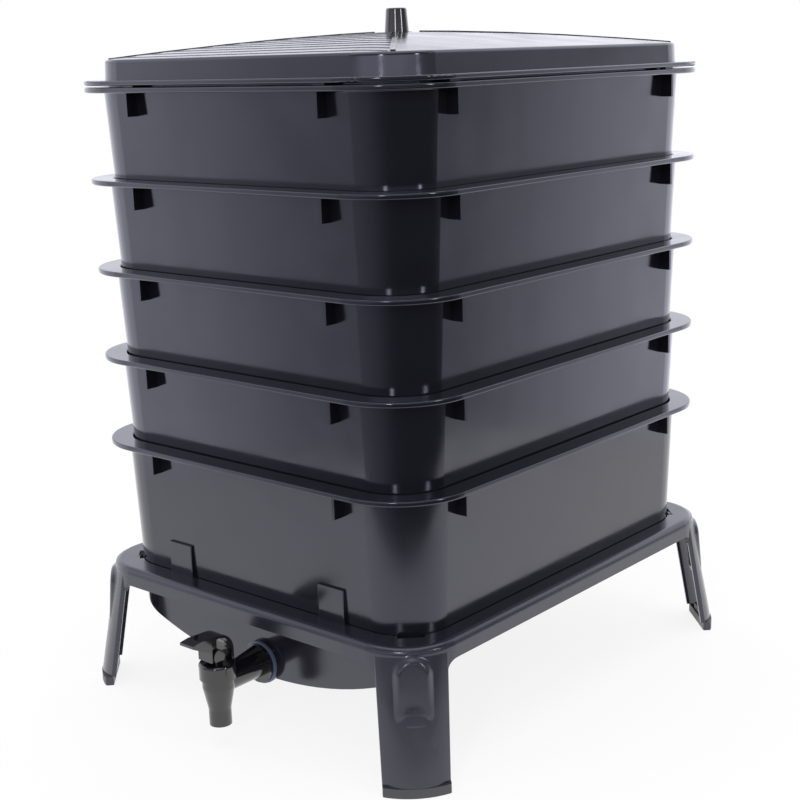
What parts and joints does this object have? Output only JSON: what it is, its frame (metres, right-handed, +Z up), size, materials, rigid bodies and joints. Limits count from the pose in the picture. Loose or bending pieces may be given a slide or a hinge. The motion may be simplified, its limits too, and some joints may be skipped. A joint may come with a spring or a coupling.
{
  "type": "stacking wormery",
  "caption": "Black plastic wormery: nesting trays with holed floors over a liquid bin with a lever tap, on a splayed stand, under a domed lid.",
  "frame": {"origin": "on the ground, under the middle of the bounding box, midway between the lever's tip and the back feet", "axes": "+Z up; -Y towards the front, where the tap is; +X to the right seen from the front"},
  "size_m": [0.4162, 0.5284, 0.599],
  "materials": {
    "black_plastic": "glossy moulded polypropylene",
    "stand_plastic": "satin moulded polypropylene",
    "foot_plastic": "matt moulded plastic",
    "tap_plastic": "glossy moulded plastic",
    "gasket_rubber": "matt rubber",
    "cup_rubber": "matt rubber",
    "fastener_steel": "zinc plated"
  },
  "bodies": {
    "base": {"stand": "stand_plastic", "foot_front_left": "foot_plastic", "foot_front_right": "foot_plastic", "foot_back_left": "foot_plastic", "foot_back_right": "foot_plastic", "base_bin": "black_plastic", "tap_body": "tap_plastic", "tap_bonnet": "tap_plastic", "tap_lever_pin": "tap_plastic", "tap_gasket": "gasket_rubber"},
    "tray_4_lifted": {"tray_4": "black_plastic"},
    "tray_3_lifted": {"tray_3": "black_plastic"},
    "tray_2_lifted": {"tray_2": "black_plastic"},
    "tray_1_lifted": {"tray_1": "black_plastic"},
    "lid_lifted": {"lid": "black_plastic", "lid_knob": "tap_plastic", "knob_screw": "fastener_steel", "knob_washer": "fastener_steel"},
    "lever": {"tap_lever": "tap_plastic"},
    "valve": {"tap_stem": "tap_plastic", "tap_seat_cup": "cup_rubber"}
  },
  "joints": [
    {"name": "tray_4_lift", "type": "slide", "parent": "base", "child": "tray_4_lifted", "axis": [0, 0, 1], "range_m": [0, 0.12]},
    {"name": "tray_3_lift", "type": "slide", "parent": "tray_4_lifted", "child": "tray_3_lifted", "axis": [0, 0, 1], "range_m": [0, 0.12]},
    {"name": "tray_2_lift", "type": "slide", "parent": "tray_3_lifted", "child": "tray_2_lifted", "axis": [0, 0, 1], "range_m": [0, 0.12]},
    {"name": "tray_1_lift", "type": "slide", "parent": "tray_2_lifted", "child": "tray_1_lifted", "axis": [0, 0, 1], "range_m": [0, 0.12]},
    {"name": "lid_lift", "type": "slide", "parent": "tray_1_lifted", "child": "lid_lifted", "axis": [0, 0, 1], "range_m": [0, 0.12]},
    {"name": "lever_press", "type": "hinge", "parent": "base", "child": "lever", "pos_m": [0.003, -0.23668, 0.082], "axis": [1, 0, 0], "range_deg": [0, 20], "stiffness_Nm_per_rad": 0.03, "springref_deg": -17.19},
    {"name": "valve_lift", "type": "slide", "parent": "base", "child": "valve", "axis": [0, 0, 1], "range_m": [0, 0.0014]}
  ],
  "couplings": [
    {"joint": "valve_lift", "follows": "lever_press", "m_per_rad": 0.0039192}
  ]
}
